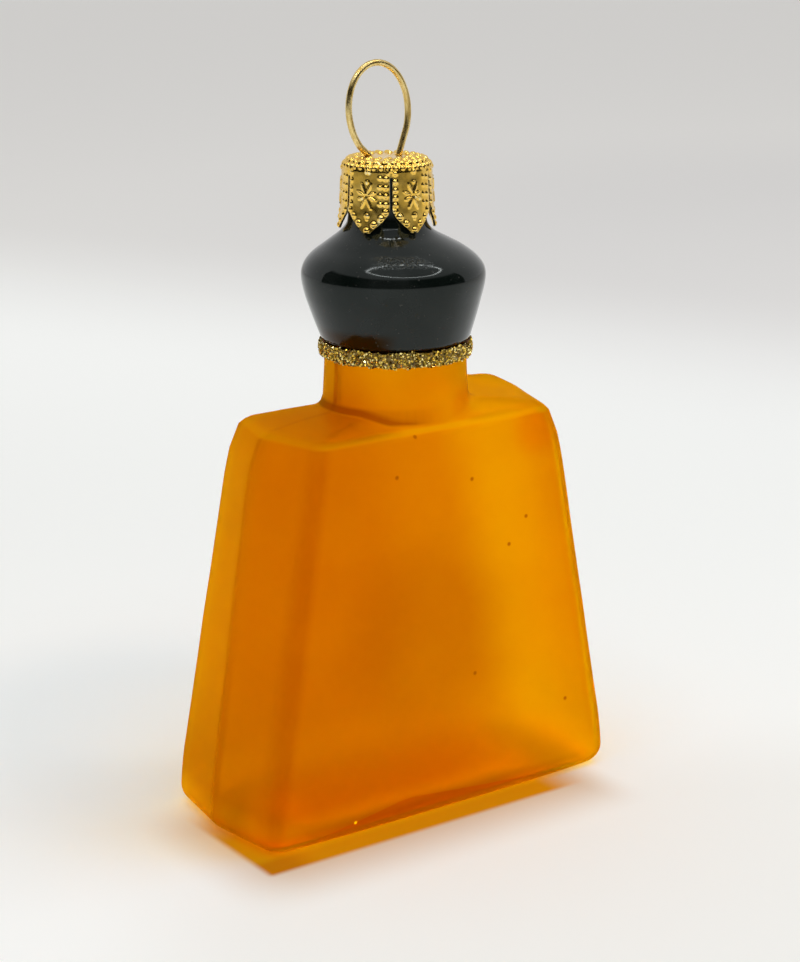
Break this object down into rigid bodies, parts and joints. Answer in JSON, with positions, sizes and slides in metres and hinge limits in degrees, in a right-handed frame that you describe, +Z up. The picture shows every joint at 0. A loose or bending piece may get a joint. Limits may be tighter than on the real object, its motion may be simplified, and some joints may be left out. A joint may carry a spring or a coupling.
{
  "type": "glass bottle hanging ornament",
  "caption": "Blown glass hanging ornament shaped like a squat tapered bottle with a black bulb stopper, a glitter ring, a crown cap and a wire loop.",
  "frame": {"origin": "on the table, under the middle of the glass body's footprint", "axes": "+Z up the stem, +X to the right along the wide front face, which looks along -Y"},
  "size_m": [0.0612, 0.0252, 0.1023],
  "materials": {
    "amber_glass": "frosted",
    "black_lacquer": "glossy lacquer",
    "gold_glitter": "coarse glitter in clear adhesive",
    "stamped_brass": "bright, embossed",
    "brass_wire": "drawn wire"
  },
  "bodies": {
    "glass": {"glass_shell": "amber_glass", "black_coat": "black_lacquer", "glitter_band": "gold_glitter"},
    "cap": {"crown_cap": "stamped_brass"},
    "hanger": {"hanger_wire": "brass_wire"}
  },
  "joints": [
    {"name": "cap_lift", "type": "slide", "parent": "glass", "child": "cap", "axis": [0, 0, 1], "range_m": [0, 0.018]},
    {"name": "hanger_lean", "type": "hinge", "parent": "cap", "child": "hanger", "pos_m": [-0.0015, 0, 0.0895], "axis": [1, 0, 0], "range_deg": [-7, 7]}
  ]
}
